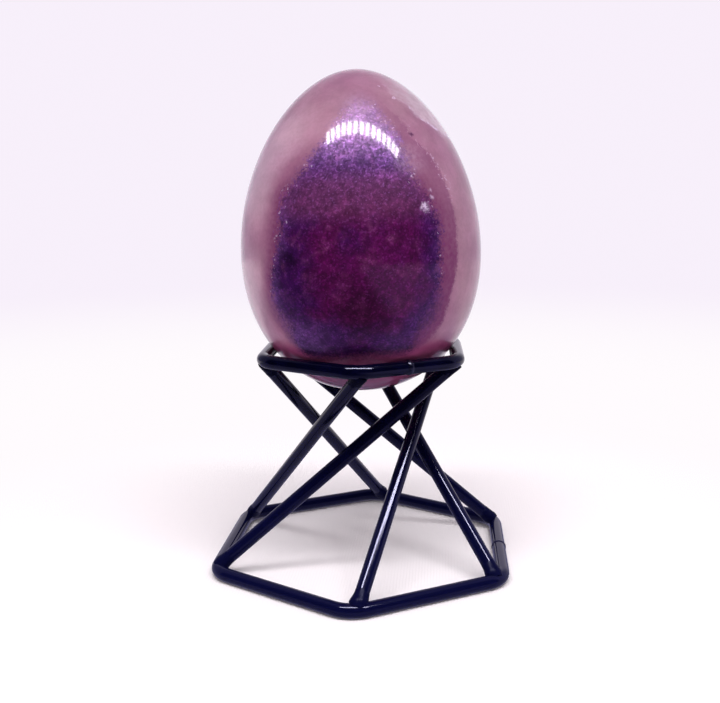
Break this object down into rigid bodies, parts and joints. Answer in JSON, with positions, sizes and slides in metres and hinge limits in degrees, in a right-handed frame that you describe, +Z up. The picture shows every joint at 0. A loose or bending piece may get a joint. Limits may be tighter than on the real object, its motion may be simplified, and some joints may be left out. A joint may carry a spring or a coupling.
{
  "type": "decorative egg on stand",
  "caption": "Polished violet stone egg resting loose on a hexagonal ring, held up by slanting struts in a welded stand of gloss black wire.",
  "frame": {"origin": "on the tabletop, under the middle of the base ring", "axes": "+Z up through the egg, -Y towards the front corner of the base ring, +X to the right"},
  "size_m": [0.0622, 0.0694, 0.1034],
  "materials": {
    "stone": "polished",
    "painted_wire": "gloss black"
  },
  "bodies": {
    "stand": {"base_ring": "painted_wire", "base_ring_seam": "painted_wire", "top_ring": "painted_wire", "top_ring_seam": "painted_wire", "strut_1": "painted_wire", "strut_2": "painted_wire", "strut_3": "painted_wire", "strut_4": "painted_wire", "strut_5": "painted_wire", "strut_6": "painted_wire", "base_bead_1": "painted_wire", "base_bead_2": "painted_wire", "base_bead_3": "painted_wire", "base_bead_4": "painted_wire", "base_bead_5": "painted_wire", "base_bead_6": "painted_wire", "top_bead_1": "painted_wire", "top_bead_2": "painted_wire", "top_bead_3": "painted_wire", "top_bead_4": "painted_wire", "top_bead_5": "painted_wire", "top_bead_6": "painted_wire"},
    "egg": {"stone_egg": "stone"}
  },
  "joints": [
    {"name": "egg_lift", "type": "slide", "parent": "stand", "child": "egg", "axis": [0, 0, 1], "range_m": [0, 0.04]}
  ]
}
